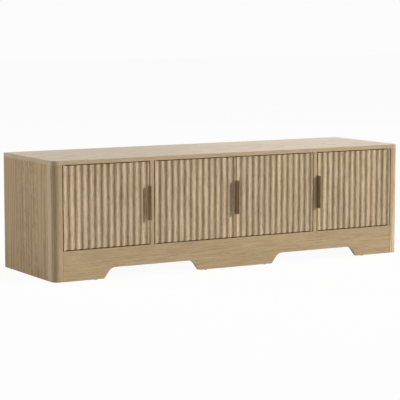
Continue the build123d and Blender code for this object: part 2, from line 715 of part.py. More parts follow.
def make_frame_leaves() -> None:
    """The frame's hinge leaves, let in flush, each with a collar and a pin that the door's eye turns on."""
    reach = GAP + LEAF + PIN_PAST_LEAF
    with BuildPart() as leaves:
        for door in DOORS:
            for height, out in ((TOP_UNDER, -1), (FLOOR_TOP, 1)):
                extrude(leaf_outline(door, height), amount=-out * LEAF)
                with Locations(Plane(origin=(*door.pivot, height), z_dir=(0, 0, out))):
                    Cylinder(EYE_RADIUS, GAP - PIN_PLAY, align=STANDING)
                    Cylinder(PIN_RADIUS, reach, align=STANDING)
                countersink(looking(leaf_screw_points(door, height), (0, 0, out)), LEAF)
    save(leaves, "frame_hinge_leaves")
    with BuildPart() as screws:
        for door in DOORS:
            for height, out in ((TOP_UNDER, DOWN), (FLOOR_TOP, UP)):
                flat_head_screws(looking(leaf_screw_points(door, height), out), HINGE_SCREW)
    save(screws, "frame_hinge_screws")


def make_catches() -> None:
    """Magnetic catches: a housing with two ears under the top, a magnet in its front, and the screws."""
    face = DOOR_BACK + STRIKE_PLATE + STRIKE_GAP
    with BuildPart() as housings:
        for door in DOORS:
            x, half = door.catch_middle, CATCH_WIDTH / 2
            waist = MAGNET_WIDTH / 2 + CATCH_EAR
            block((x - half, x + half), (face, face + CATCH_DEPTH), (TOP_UNDER - CATCH_EAR, TOP_UNDER))
            block((x - waist, x + waist), (face, face + CATCH_DEPTH), (TOP_UNDER - CATCH_DROP, TOP_UNDER))
            block((x - MAGNET_WIDTH / 2, x + MAGNET_WIDTH / 2), (face, face + MAGNET_DEPTH),
                  (strike_height() - MAGNET_HEIGHT / 2, strike_height() + MAGNET_HEIGHT / 2), Mode.SUBTRACT)
            drill(looking(catch_screw_points(door, TOP_UNDER), UP), SCREW_RADIUS + FIT_PLAY, CATCH_EAR)
    save(housings, "catch_housings")
    with BuildPart() as magnets:
        for door in DOORS:
            x, half = door.catch_middle, MAGNET_WIDTH / 2 - FIT_PLAY
            tall = MAGNET_HEIGHT / 2 - FIT_PLAY
            block((x - half, x + half), (face, face + MAGNET_DEPTH - FIT_PLAY),
                  (strike_height() - tall, strike_height() + tall))
    save(magnets, "catch_magnets")
    with BuildPart() as screws:
        for door in DOORS:
            pan_head_screws(looking(catch_screw_points(door, TOP_UNDER - CATCH_EAR), DOWN), PULL_SCREW)
    save(screws, "catch_screws")


def make_door_panel(door: Door) -> None:
    """A fluted door with a rebate for its pull and seats for its hinge leaves, screws and strike plate."""
    with BuildPart() as panel:
        outline = door_outline(door)
        extrude(outline.moved(Location((0, 0, DOOR_LOW))), amount=DOOR_HIGH - DOOR_LOW)
        rebate = PULL_HEIGHT / 2 + FIT_PLAY
        block((door.free_edge, door.across(DOOR_WIDTH - PULL_PLATE - FIT_PLAY)), (DOOR_FACE, DOOR_BACK),
              (DOOR_MIDDLE - rebate, DOOR_MIDDLE + rebate), Mode.SUBTRACT)
        for height, out in ((DOOR_HIGH, 1), (DOOR_LOW, -1)):
            extrude(leaf_outline(door, height, LEAF_PLAY), amount=-out * LEAF, mode=Mode.SUBTRACT)
            drill(looking([(*door.pivot, height)], (0, 0, out)), PIN_RADIUS + PIN_PLAY,
                  LEAF + PIN_PAST_LEAF + HOLE_SPARE)
            pilot(looking(leaf_screw_points(door, height), (0, 0, out)), HINGE_SCREW + HOLE_SPARE)
        pilot(looking(pull_screw_points(door, DOOR_BACK), BACKWARD), PULL_SCREW)
        pilot(looking(strike_screw_points(door, DOOR_BACK), BACKWARD), PULL_SCREW)
    save(panel, f"{door.name}_panel")


def make_door_pull(door: Door) -> None:
    """The bronze pull at the door's free edge, and its two screws behind."""
    with BuildPart() as pull:
        foot = Location((0, 0, DOOR_MIDDLE - PULL_HEIGHT / 2))
        extrude(pull_outline(door).moved(foot), amount=PULL_HEIGHT)
        corners = pull.edges().filter_by(Axis.X)
        fillet(corners.group_by(Axis.Y)[0], PULL_ROUND)
        seats = looking(pull_screw_points(door, DOOR_BACK + PULL_PLATE), BACKWARD)
        drill(seats, SCREW_RADIUS + FIT_PLAY, PULL_PLATE)
    save(pull, f"{door.name}_pull")
    with BuildPart() as screws:
        pan_head_screws(seats, PULL_SCREW)
    save(screws, f"{door.name}_pull_screws")


def make_door_leaves(door: Door) -> None:
    """The door's hinge leaves, let in flush at top and bottom, and their screws."""
    ends = ((DOOR_HIGH, 1), (DOOR_LOW, -1))
    with BuildPart() as leaves:
        for height, out in ends:
            extrude(leaf_outline(door, height), amount=-out * LEAF)
            drill(looking([(*door.pivot, height)], (0, 0, out)), PIN_RADIUS + PIN_PLAY, LEAF)
            countersink(looking(leaf_screw_points(door, height), (0, 0, out)), LEAF)
    save(leaves, f"{door.name}_hinge_leaves")
    with BuildPart() as screws:
        for height, out in ends:
            flat_head_screws(looking(leaf_screw_points(door, height), (0, 0, out)), HINGE_SCREW)
    save(screws, f"{door.name}_hinge_screws")


def make_door_strike(door: Door) -> None:
    """The steel plate on the door's back that the magnet pulls, and its screw."""
    x, z = door.catch_middle, strike_height()
    with BuildPart() as plate:
        block((x - STRIKE_WIDTH / 2, x + STRIKE_WIDTH / 2), (DOOR_BACK, DOOR_BACK + STRIKE_PLATE),
              (z - STRIKE_HEIGHT / 2, z + STRIKE_HEIGHT / 2))
        countersink(looking(strike_screw_points(door, DOOR_BACK + STRIKE_PLATE), BACKWARD), STRIKE_PLATE,
                    head=STRIKE_PLATE)
    save(plate, f"{door.name}_strike_plate")
    with BuildPart() as screw:
        flat_head_screws(looking(strike_screw_points(door, DOOR_BACK + STRIKE_PLATE), BACKWARD), PULL_SCREW,
                         head=STRIKE_PLATE)
    save(screw, f"{door.name}_strike_screw")


def main() -> None:
    """Makes every piece of the cabinet and writes each to its own file."""
    os.makedirs("parts", exist_ok=True)
    make_top()
    for name, side in SIDES.items():
        make_side(name, side)
        make_post(name, side)
        make_divider(name, side)
    make_bottom()
    make_front_apron()
    make_rear_apron()
    for bay in BAYS:
        make_back(bay)
        make_shelf(bay)
    make_shelf_pins()
    make_cams()
    make_cam_bolts()
    make_carcass_fasteners()
    make_blocks()
    make_glides()
    make_frame_leaves()
    make_catches()
    for door in DOORS:
        make_door_panel(door)
        make_door_pull(door)
        make_door_leaves(door)
        make_door_strike(door)


main()
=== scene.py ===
"""Looks of a low oak media cabinet with fluted doors: finishes, cut fittings, studio and camera."""

import logging
from dataclasses import dataclass, field, replace
from enum import Enum
from math import copysign, cos, pi, radians, sin
from typing import Protocol

import bmesh
import bpy
from mathutils import Matrix, Vector


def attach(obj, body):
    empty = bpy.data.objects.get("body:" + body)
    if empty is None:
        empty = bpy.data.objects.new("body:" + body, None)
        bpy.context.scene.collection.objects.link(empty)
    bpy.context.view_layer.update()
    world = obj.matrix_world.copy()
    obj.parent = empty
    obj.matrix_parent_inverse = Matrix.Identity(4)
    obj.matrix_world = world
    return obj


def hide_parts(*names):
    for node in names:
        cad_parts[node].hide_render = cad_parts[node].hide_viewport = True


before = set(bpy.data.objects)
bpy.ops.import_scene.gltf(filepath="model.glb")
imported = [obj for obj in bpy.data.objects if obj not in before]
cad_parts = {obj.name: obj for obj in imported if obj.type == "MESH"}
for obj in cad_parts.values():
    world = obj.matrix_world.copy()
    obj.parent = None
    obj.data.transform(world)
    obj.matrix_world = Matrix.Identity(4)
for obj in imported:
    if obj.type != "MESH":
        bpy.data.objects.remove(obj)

log = logging.getLogger("media_cabinet")

Span = tuple[float, float]
Triple = tuple[float, float, float]
Colour = tuple[float, float, float, float]
Outline = list[tuple[float, float]]
Socket = bpy.types.NodeSocket
Source = Socket | float | Triple | Colour

CARCASS = "carcass"
MERGE_WITHIN = 1e-6
SMOOTH_BELOW = radians(32)
WHITE = (1, 1, 1, 1)

# Most of a soft noise lies between these values.
NOISE_BAND = (0.3, 0.7)


class Axis(Enum):
    """The direction in the cabinet that a grain or a brushing runs."""

    X = 0
    Y = 1
    Z = 2


class HeadForm(Enum):
    """The two screw heads in the cabinet."""

    FLAT = "flat"
    PAN = "pan"


class Sum(Enum):
    """The sums that a finish works out."""

    ADD = "ADD"
    SUBTRACT = "SUBTRACT"
    MULTIPLY = "MULTIPLY"
    DIVIDE = "DIVIDE"
    FLOOR = "FLOOR"
    LEAST = "MINIMUM"
    MOST = "MAXIMUM"


class Blend(Enum):
    """The ways that two colours of a finish meet."""

    COVER = "MIX"
    SHADE = "MULTIPLY"


@dataclass(frozen=True)
class Tone:
    """A colour as a paint card gives it, in steps of 0 to 255."""

    red: float
    green: float
    blue: float

    STEPS = 255
    TOE_END = 0.04045
    TOE_SLOPE = 12.92
    CURVE_SHIFT = 0.055
    CURVE_POWER = 2.4

    def linear(self) -> Colour:
        """The colour in the linear units that a shader takes."""
        steps = (self.red, self.green, self.blue)
        return tuple(self._channel(step / self.STEPS) for step in steps) + (1.0,)

    def times(self, factor: float) -> "Tone":
        """The same colour, lighter or darker."""
        return Tone(self.red * factor, self.green * factor, self.blue * factor)

    @classmethod
    def _channel(cls, value: float) -> float:
        """One channel, from display units to linear units."""
        curve = ((value + cls.CURVE_SHIFT) / (1 + cls.CURVE_SHIFT)) ** cls.CURVE_POWER
        return value / cls.TOE_SLOPE if value <= cls.TOE_END else curve


class ShaderSheet:
    """A material's node tree, with short ways to add nodes and join them."""

    MIX_FACTOR, MIX_A, MIX_B, MIX_RESULT = 0, 6, 7, 2
    RANGE_ENDS = ("From Min", "From Max", "To Min", "To Max")
    TURNS = {Axis.X: (0, 0, 0), Axis.Y: (0, 0, -pi / 2), Axis.Z: (0, pi / 2, 0)}

    def __init__(self, name: str) -> None:
        """Starts an empty tree that ends in one surface shader.

        Args:
            name: The material's name.
        """
        self.material = bpy.data.materials.new(name)
        self.material.use_nodes = True
        self.tree = self.material.node_tree
        self.surface = self.tree.nodes["Principled BSDF"]

    def node(self, kind: str, **settings: object) -> bpy.types.Node:
        """Adds a node.

        Args:
            kind: The node's type name.
            settings: Attributes to set on it.

        Returns:
            The new node.
        """
        made = self.tree.nodes.new(kind)
        for key, value in settings.items():
            setattr(made, key, value)
        return made

    def feed(self, socket: Socket, value: Source) -> None:
        """Links an output to a socket, or sets the socket to a plain value.

        Args:
            socket: The input to feed.
            value: An output, a number or a colour.
        """
        if isinstance(value, Socket):
            self.tree.links.new(value, socket)
        else:
            socket.default_value = value

    def maths(self, operation: Sum, first: Source, second: Source) -> Socket:
        """Works out one sum.

        Args:
            operation: The sum.
            first: A number or an output.
            second: A number or an output.

        Returns:
            The result's output.
        """
        made = self.node("ShaderNodeMath", operation=operation.value)
        self.feed(made.inputs[0], first)
        self.feed(made.inputs[1], second)
        return made.outputs[0]

    def remap(self, value: Source, start: Span, end: Span = (0.0, 1.0)) -> Socket:
        """Maps one range of numbers to another with its ends held.

        Args:
            value: The number to map.
            start: The low and high value of the range it comes from.
            end: The low and high value of the range it goes to.

        Returns:
            The result's output.
        """
        made = self.node("ShaderNodeMapRange", interpolation_type="SMOOTHSTEP")
        for key, number in zip(self.RANGE_ENDS, (*start, *end)):
            made.inputs[key].default_value = number
        self.feed(made.inputs["Value"], value)
        return made.outputs["Result"]

    def mix(
        self, factor: Source, first: Source, second: Source, blend: Blend = Blend.COVER
    ) -> Socket:
        """Mixes two colours.

        Args:
            factor: How much of the second is taken.
            first: A colour or an output.
            second: A colour or an output.
            blend: The way that they meet.

        Returns:
            The result's output.
        """
        made = self.node("ShaderNodeMix", data_type="RGBA", blend_type=blend.value)
        self.feed(made.inputs[self.MIX_FACTOR], factor)
        self.feed(made.inputs[self.MIX_A], first)
        self.feed(made.inputs[self.MIX_B], second)
        return made.outputs[self.MIX_RESULT]

    def placed(self, vector: Socket, **places: Triple) -> Socket:
        """Scales, then turns, then moves coordinates.

        Args:
            vector: The coordinates' output.
            places: The Scale, Rotation and Location to use.

        Returns:
            The new coordinates' output.
        """
        made = self.node("ShaderNodeMapping")
        for key, value in places.items():
            made.inputs[key].default_value = value
        self.feed(made.inputs["Vector"], vector)
        return made.outputs["Vector"]

    def noise(self, vector: Socket, detail: float = 2.0, roughness: float = 0.5) -> Socket:
        """Soft noise about one unit across.

        Args:
            vector: The coordinates' output.
            detail: How many finer layers it has.
            roughness: How strong the finer layers are.

        Returns:
            The noise's output.
        """
        made = self.node("ShaderNodeTexNoise")
        made.inputs["Scale"].default_value = 1.0
        made.inputs["Detail"].default_value = detail
        made.inputs["Roughness"].default_value = roughness
        self.feed(made.inputs["Vector"], vector)
        return made.outputs[0]

    def along(self, axis: Axis) -> Socket:
        """The piece's own coordinates, turned so that X runs along an axis of the cabinet."""
        own = self.node("ShaderNodeTexCoord").outputs["Object"]
        return self.placed(own, Rotation=self.TURNS[axis])

    def relief(self, height: Socket, depth: float, strength: float) -> None:
        """Raises the surface by a height.

        Args:
            height: The height's output, from 0 to 1.
            depth: What a height of 1 stands for, in metres.
            strength: How much of it shows.
        """
        bump = self.node("ShaderNodeBump")
        bump.inputs["Distance"].default_value = depth
        bump.inputs["Strength"].default_value = strength
        self.feed(bump.inputs["Height"], height)
        self.feed(self.surface.inputs["Normal"], bump.outputs["Normal"])


class Finish(Protocol):
    """What a piece can wear."""

    name: str

    def material(self) -> bpy.types.Material:
        """Builds the finish."""


@dataclass(frozen=True)
class OakFinish:
    """Washed oak under matt lacquer, as if cut from a log: rings, streaks, dashes and pores.

    Wide boards are veneered with leaves side by side, each with its own tone and place in the log.
    """

    name: str
    grain: Axis
    pith: Span = (0.0, 0.06)
    lean: Span = (0.35, 0.10)
    shift: float = 0.0
    leaf: float = 0.0
    leaf_from: float = 0.0
    leaf_across: Axis = Axis.Y
    leaf_step: float = 0.045
    leaf_dashes: Span = (0.6, 1.0)
    pale: Tone = Tone(190, 167, 132)
    deep: Tone = Tone(163, 139, 104)
    pore: Tone = Tone(126, 101, 71)
    tint: float = 1.0
    contrast: float = 1.0
    cloud: float = 0.06
    dash: float = 0.2
    dash_scale: Triple = (14.0, 240.0, 240.0)
    streak_scale: Triple = (7.0, 85.0, 85.0)
    ring_share: float = 0.45
    ring_pitch: float = 0.0052
    ring_stretch: float = 0.10
    gloss: float = 0.2
    roughness: Span = (0.30, 0.42)

    # At a scale of 1 the rings of a wave texture stand this far apart.
    RING_UNIT = 2 * pi / 20
    RING_WANDER = {"Distortion": 7.0, "Detail": 3.0, "Detail Scale": 0.35, "Detail Roughness": 0.55}
    RING_HEIGHT = 0.03
    EARLY_WOOD = (0.02, 0.50)
    LATE_LIFT = 0.22
    FIGURE_MIDDLE = 0.47
    FIGURE_REACH = 0.25
    STREAK_LAYERS = {"detail": 4.0, "roughness": 0.6}
    CLOUD_SCALE = (1.6, 9.0, 9.0)
    DASH_LAYERS = {"detail": 3.0, "roughness": 0.6}
    DASH_EDGE = (0.38, 0.50)
    PORE_SCALE = (46.0, 1150.0, 1150.0)
    PORE_EDGE = (0.56, 0.68)
    PORE_RINGS = (0.15, 0.75)
    PORE_CROWD = (1.0, 0.35)
    PORE_SHARE = 0.6
    LEAF_MOVE = (2.0, 0.12, 0.05)
    LEAF_BAND = (0.2, 0.8)
    RELIEF_DEPTH = 0.00025
    RELIEF_STRENGTH = 0.5

    def material(self) -> bpy.types.Material:
        """Builds the finish.

        Returns:
            The material.
        """
        sheet = ShaderSheet(self.name)
        leaf_tone, leaf_dash, timber = self._leaves(sheet, sheet.along(self.grain))
        rings = self._rings(sheet, timber)
        streak = sheet.noise(sheet.placed(timber, Scale=self.streak_scale), **self.STREAK_LAYERS)
        pores = self._pores(sheet, timber, rings)
        figure = self._figure(sheet, rings, streak)
        colour = sheet.mix(figure, self.deep.linear(), self.pale.linear())
        shade = sheet.maths(Sum.MULTIPLY, self._clouds(sheet, timber), leaf_tone)
        colour = sheet.mix(1.0, colour, self._grey(sheet, shade), Blend.SHADE)
        dashes = sheet.maths(Sum.MULTIPLY, self._dashes(sheet, timber), leaf_dash)
        colour = sheet.mix(dashes, colour, self.pore.times(self.tint).linear())
        dark = sheet.maths(Sum.MULTIPLY, pores, self.PORE_SHARE)
        sheet.feed(sheet.surface.inputs["Base Color"], sheet.mix(dark, colour, self.pore.linear()))
        rough = sheet.maths(Sum.MOST, sheet.remap(streak, NOISE_BAND, self.roughness), pores)
        rough = sheet.maths(Sum.LEAST, rough, self.roughness[1])
        sheet.feed(sheet.surface.inputs["Roughness"], rough)
        sheet.surface.inputs["Specular IOR Level"].default_value = self.gloss
        raised = sheet.maths(Sum.MULTIPLY, rings, self.RING_HEIGHT)
        height = sheet.maths(Sum.SUBTRACT, raised, pores)
        sheet.relief(height, self.RELIEF_DEPTH, self.RELIEF_STRENGTH)
        return sheet.material

    def _figure(self, sheet: ShaderSheet, rings: Socket, streak: Socket) -> Socket:
        """The figure that rings and streaks draw together.

        Args:
            sheet: The tree being built.
            rings: The rings' output.
            streak: The streaks' output.

        Returns:
            An output that is 0 in the deep lines and 1 in the pale wood.
        """
        late = sheet.maths(Sum.MULTIPLY, sheet.remap(rings, self.EARLY_WOOD), self.ring_share)
        drawn = sheet.maths(Sum.ADD, late, sheet.maths(Sum.MULTIPLY, streak, 1.0 - self.ring_share))
        middle = self.FIGURE_MIDDLE + self.LATE_LIFT * self.ring_share
        reach = self.FIGURE_REACH / self.contrast
        return sheet.remap(drawn, (middle - reach, middle + reach))

    def _clouds(self, sheet: ShaderSheet, timber: Socket) -> Socket:
        """Wide soft clouds round the board's own tint.

        Args:
            sheet: The tree being built.
            timber: Coordinates in the log.

        Returns:
            The tint's output.
        """
        cloud = sheet.noise(sheet.placed(timber, Scale=self.CLOUD_SCALE))
        tints = (self.tint * (1 - self.cloud), self.tint * (1 + self.cloud))
        return sheet.remap(cloud, NOISE_BAND, tints)

    def _dashes(self, sheet: ShaderSheet, timber: Socket) -> Socket:
        """Dark dashes along the grain, where the early wood was cut through."""
        dash = sheet.noise(sheet.placed(timber, Scale=self.dash_scale), **self.DASH_LAYERS)
        return sheet.remap(dash, self.DASH_EDGE, (self.dash, 0.0))

    @staticmethod
    def _grey(sheet: ShaderSheet, value: Socket) -> Socket:
        """A number as a grey colour.

        Args:
            sheet: The tree being built.
            value: The number's output.

        Returns:
            The colour's output.
        """
        made = sheet.node("ShaderNodeCombineColor")
        for channel in made.inputs:
            sheet.feed(channel, value)
        return made.outputs[0]

    def _leaves(self, sheet: ShaderSheet, board: Socket) -> tuple[Source, Source, Socket]:
        """Lays the veneer in leaves side by side.

        Args:
            sheet: The tree being built.
            board: Coordinates with X along the grain.

        Returns:
            The leaf's tone, its share of dashes and the coordinates in the log.
        """
        start = sheet.placed(board, Location=(self.shift, 0.0, 0.0))
        if not self.leaf:
            return 1.0, 1.0, start
        parts = sheet.node("ShaderNodeSeparateXYZ")
        sheet.feed(parts.inputs[0], board)
        across = parts.outputs[self.leaf_across.value]
        passed = sheet.maths(Sum.SUBTRACT, across, self.leaf_from)
        number = sheet.maths(Sum.FLOOR, sheet.maths(Sum.DIVIDE, passed, self.leaf), 0.0)
        dice = sheet.node("ShaderNodeTexWhiteNoise", noise_dimensions="1D")
        sheet.feed(dice.inputs["W"], sheet.maths(Sum.ADD, number, self.shift))
        step = sheet.node("ShaderNodeVectorMath", operation="MULTIPLY_ADD")
        sheet.feed(step.inputs[0], dice.outputs["Color"])
        step.inputs[1].default_value = self.LEAF_MOVE
        sheet.feed(step.inputs[2], start)
        tones = (1 - self.leaf_step, 1 + self.leaf_step)
        tone = sheet.remap(dice.outputs["Value"], (0.0, 1.0), tones)
        hues = sheet.node("ShaderNodeSeparateColor")
        sheet.feed(hues.inputs[0], dice.outputs["Color"])
        dashes = sheet.remap(hues.outputs[0], self.LEAF_BAND, self.leaf_dashes)
        return tone, dashes, step.outputs[0]

    def _rings(self, sheet: ShaderSheet, timber: Socket) -> Socket:
        """Growth rings round a leaning pith.

        Args:
            sheet: The tree being built.
            timber: Coordinates in the log.

        Returns:
            An output that is 0 in the porous early wood and 1 in the late wood.
        """
        trunk = sheet.placed(
            timber,
            Scale=(self.ring_stretch, 1.0, 1.0),
            Rotation=(0.0, self.lean[0], self.lean[1]),
            Location=(0.0, self.pith[0], self.pith[1]),
        )
        wave = sheet.node(
            "ShaderNodeTexWave", wave_type="RINGS", rings_direction="X", wave_profile="SAW")
        wave.inputs["Scale"].default_value = self.RING_UNIT / self.ring_pitch
        for key, value in self.RING_WANDER.items():
            wave.inputs[key].default_value = value
        sheet.feed(wave.inputs["Vector"], trunk)
        return wave.outputs["Fac"]

    def _pores(self, sheet: ShaderSheet, timber: Socket, rings: Socket) -> Socket:
        """Short dark pores along the grain, most of them in the early wood.

        Args:
            sheet: The tree being built.
            timber: Coordinates in the log.
            rings: The rings' output.

        Returns:
            An output that is 1 in a pore.
        """
        speck = sheet.noise(sheet.placed(timber, Scale=self.PORE_SCALE), detail=1.0)
        early = sheet.remap(rings, self.PORE_RINGS, self.PORE_CROWD)
        return sheet.maths(Sum.MULTIPLY, sheet.remap(speck, self.PORE_EDGE), early)


@dataclass(frozen=True)
class BeechFinish:
    """Raw beech, pale with short flecks."""

    name: str
    grain: Axis
    pale: Tone = Tone(205, 174, 138)
    fleck: Tone = Tone(166, 126, 90)
    streak_tint: float = 0.93
    streak_scale: Triple = (10.0, 160.0, 160.0)
    fleck_scale: Triple = (220.0, 1300.0, 1300.0)
    fleck_edge: Span = (0.58, 0.66)
    roughness: Span = (0.55, 0.7)
    relief_depth: float = 0.0002
    relief_strength: float = 0.3

    def material(self) -> bpy.types.Material:
        """Builds the finish.

        Returns:
            The material.
        """
        sheet = ShaderSheet(self.name)
        timber = sheet.along(self.grain)
        fleck = sheet.noise(sheet.placed(timber, Scale=self.fleck_scale))
        streak = sheet.noise(sheet.placed(timber, Scale=self.streak_scale))
        dim = self.pale.times(self.streak_tint)
        colour = sheet.mix(sheet.remap(streak, NOISE_BAND), dim.linear(), self.pale.linear())
        colour = sheet.mix(sheet.remap(fleck, self.fleck_edge), colour, self.fleck.linear())
        sheet.feed(sheet.surface.inputs["Base Color"], colour)
        rough = sheet.remap(streak, NOISE_BAND, self.roughness)
        sheet.feed(sheet.surface.inputs["Roughness"], rough)
        sheet.relief(streak, self.relief_depth, self.relief_strength)
        return sheet.material


@dataclass(frozen=True)
class MetalFinish:
    """A brushed or plated metal."""

    name: str
    bright: Tone
    dull: Tone
    brushed: Axis
    brush_scale: Triple = (30.0, 2600.0, 2600.0)
    brush_share: float = 0.6
    stain_scale: float = 45.0
    band: Span = (0.35, 0.65)
    roughness: Span = (0.30, 0.46)
    relief_depth: float = 0.00003
    relief_strength: float = 0.4

    def material(self) -> bpy.types.Material:
        """Builds the finish.

        Returns:
            The material.
        """
        sheet = ShaderSheet(self.name)
        sheet.surface.inputs["Metallic"].default_value = 1.0
        metal = sheet.along(self.brushed)
        lines = sheet.noise(sheet.placed(metal, Scale=self.brush_scale))
        stain = sheet.noise(sheet.placed(metal, Scale=(self.stain_scale,) * 3), detail=3.0)
        blend = sheet.maths(
            Sum.ADD,
            sheet.maths(Sum.MULTIPLY, lines, self.brush_share),
            sheet.maths(Sum.MULTIPLY, stain, 1.0 - self.brush_share),
        )
        colour = sheet.mix(sheet.remap(blend, self.band), self.dull.linear(), self.bright.linear())
        sheet.feed(sheet.surface.inputs["Base Color"], colour)
        rough = sheet.remap(blend, self.band, self.roughness)
        sheet.feed(sheet.surface.inputs["Roughness"], rough)
        sheet.relief(lines, self.relief_depth, self.relief_strength)
        return sheet.material


@dataclass(frozen=True)
class MouldedFinish:
    """A matt moulded or sintered material with a fine even grain."""

    name: str
    tone: Tone
    roughness: Span = (0.5, 0.65)
    grain_scale: float = 1400.0
    haze_scale: float = 60.0
    haze_tint: float = 0.92
    relief_depth: float = 0.00006
    relief_strength: float = 0.4

    def material(self) -> bpy.types.Material:
        """Builds the finish.

        Returns:
            The material.
        """
        sheet = ShaderSheet(self.name)
        own = sheet.along(Axis.X)
        grain = sheet.noise(sheet.placed(own, Scale=(self.grain_scale,) * 3))
        haze = sheet.noise(sheet.placed(own, Scale=(self.haze_scale,) * 3))
        dim = self.tone.times(self.haze_tint)
        colour = sheet.mix(sheet.remap(haze, NOISE_BAND), dim.linear(), self.tone.linear())
        sheet.feed(sheet.surface.inputs["Base Color"], colour)
        rough = sheet.remap(grain, NOISE_BAND, self.roughness)
        sheet.feed(sheet.surface.inputs["Roughness"], rough)
        sheet.relief(grain, self.relief_depth, self.relief_strength)
        return sheet.material


BRONZE = MetalFinish(
    "bronze_satin", bright=Tone(178, 154, 122), dull=Tone(152, 128, 98), brushed=Axis.Z,
    roughness=(0.66, 0.80))
ZINC = MetalFinish(
    "zinc_plated", bright=Tone(186, 184, 178), dull=Tone(158, 155, 148), brushed=Axis.X,
    brush_scale=(300.0, 900.0, 900.0), roughness=(0.28, 0.42), relief_depth=0.00001)
NYLON = MouldedFinish("nylon_brown", Tone(104, 88, 72))
MAGNET = MouldedFinish("ferrite", Tone(62, 61, 62), roughness=(0.45, 0.6), grain_scale=900.0)


class Wardrobe:
    """Keeps one material for each finish, and dresses the pieces with them."""

    def __init__(self) -> None:
        """Starts with no materials."""
        self._made: dict[Finish, bpy.types.Material] = {}

    def of(self, finish: Finish) -> bpy.types.Material:
        """The material of a finish, made the first time that it is asked for.

        Args:
            finish: The finish.

        Returns:
            Its material.
        """
        if finish not in self._made:
            self._made[finish] = finish.material()
        return self._made[finish]

    def dress(self, node: str, finish: Finish) -> None:
        """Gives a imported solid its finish.

        Args:
            node: The solid's name.
            finish: The finish to wear.
        """
        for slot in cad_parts[node].material_slots:
            slot.material = self.of(finish)
        log.info("%s wears %s", node, finish.name)


def draw_wall(
    shape: bmesh.types.BMesh, ring: list[bmesh.types.BMEdge], share: float, rise: float
) -> list[bmesh.types.BMEdge]:
    """Draws a wall from one ring of edges to the next along a fitting's axis.

    Args:
        shape: The fitting being made.
        ring: The edges that the wall starts from.
        share: The next ring's size as a share of this one's.
        rise: How much higher the next ring is.

    Returns:
        The edges of the next ring.
    """
    grown = bmesh.ops.extrude_edge_only(shape, edges=ring)["geom"]
    verts = [part for part in grown if isinstance(part, bmesh.types.BMVert)]
    bmesh.ops.scale(shape, verts=verts, vec=(share, share, 1))
    bmesh.ops.translate(shape, verts=verts, vec=(0, 0, rise))
    return [part for part in grown if isinstance(part, bmesh.types.BMEdge)]


@dataclass(frozen=True)
class CrossRecess:
    """A cross cut in a screw or cam head for the driver."""

    reach: float
    half_width: float
    depth: float
    taper: float = 0.6

    def cut(self, shape: bmesh.types.BMesh, rim: list[bmesh.types.BMEdge]) -> None:
        """Fills a head's rim with a face that has the cross sunk in it.

        Args:
            shape: The head being made.
            rim: The edges of its outer circle, at height 0.
        """
        arm = [
            Vector((self.reach, -self.half_width, 0)),
            Vector((self.reach, self.half_width, 0)),
            Vector((self.half_width, self.half_width, 0)),
        ]
        turns = [Matrix.Rotation(turn * pi / 2, 3, "Z") for turn in range(4)]
        verts = [shape.verts.new(turn @ point) for turn in turns for point in arm]
        cross = [shape.edges.new(pair) for pair in zip(verts, verts[1:] + verts[:1])]
        bmesh.ops.triangle_fill(shape, edges=rim + cross, use_beauty=True)
        bottom = draw_wall(shape, cross, self.taper, -self.depth)
        bmesh.ops.contextual_create(shape, geom=bottom)


@dataclass
class TurnedMesh:
    """Round fittings cut as on a lathe, each with a cross recess, gathered in one mesh."""

    name: str
    segments: int = 24
    mesh: bmesh.types.BMesh = field(default_factory=bmesh.new)

    def add(self, profile: Outline, place: Matrix, recess: CrossRecess) -> None:
        """Adds one fitting.

        Args:
            profile: Radius and height from the rim of the top face down to the end.
            place: Where its axis and its zero height go.
            recess: The cross cut in its top face.
        """
        shape = bmesh.new()
        radius, height = profile[0]
        bmesh.ops.create_circle(shape, radius=radius, segments=self.segments, cap_ends=False)
        ring = list(shape.edges)
        recess.cut(shape, ring)
        bmesh.ops.translate(shape, verts=shape.verts, vec=(0, 0, height))
        for (wide, high), (wider, lower) in zip(profile, profile[1:]):
            ring = draw_wall(shape, ring, wider / wide, lower - high)
        bmesh.ops.contextual_create(shape, geom=ring)
        bmesh.ops.recalc_face_normals(shape, faces=shape.faces)
        bmesh.ops.transform(shape, matrix=place, verts=shape.verts)
        made = bpy.data.meshes.new(self.name)
        shape.to_mesh(made)
        shape.free()
        self.mesh.from_mesh(made)
        bpy.data.meshes.remove(made)

    def piece(self, body: str, node: str, material: bpy.types.Material) -> None:
        """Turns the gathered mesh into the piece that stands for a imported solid.

        Args:
            body: The body that it rides on.
            node: The solid that it stands for.
            material: What it wears.
        """
        data = bpy.data.meshes.new(self.name)
        self.mesh.to_mesh(data)
        self.mesh.free()
        data.materials.append(material)
        data.shade_smooth()
        data.set_sharp_from_angle(angle=SMOOTH_BELOW)
        made = bpy.data.objects.new(self.name, data)
        bpy.context.scene.collection.objects.link(made)
        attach(made, body)
        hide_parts(node)
        log.info("%s stands for %s", self.name, node)


def solids_of(node: str) -> list[list[Vector]]:
    """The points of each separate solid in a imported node.

    Args:
        node: The node's name.

    Returns:
        One list of points for each solid.
    """
    shape = bmesh.new()
    shape.from_mesh(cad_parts[node].data)
    bmesh.ops.remove_doubles(shape, verts=shape.verts, dist=MERGE_WITHIN)
    met = set()
    found = []
    for first in shape.verts:
        if first in met:
            continue
        met.add(first)
        solid = [first]
        for vert in solid:
            near = [edge.other_vert(vert) for edge in vert.link_edges]
            fresh = [other for other in near if other not in met]
            met.update(fresh)
            solid.extend(fresh)
        found.append([vert.co.copy() for vert in solid])
    shape.free()
    return found


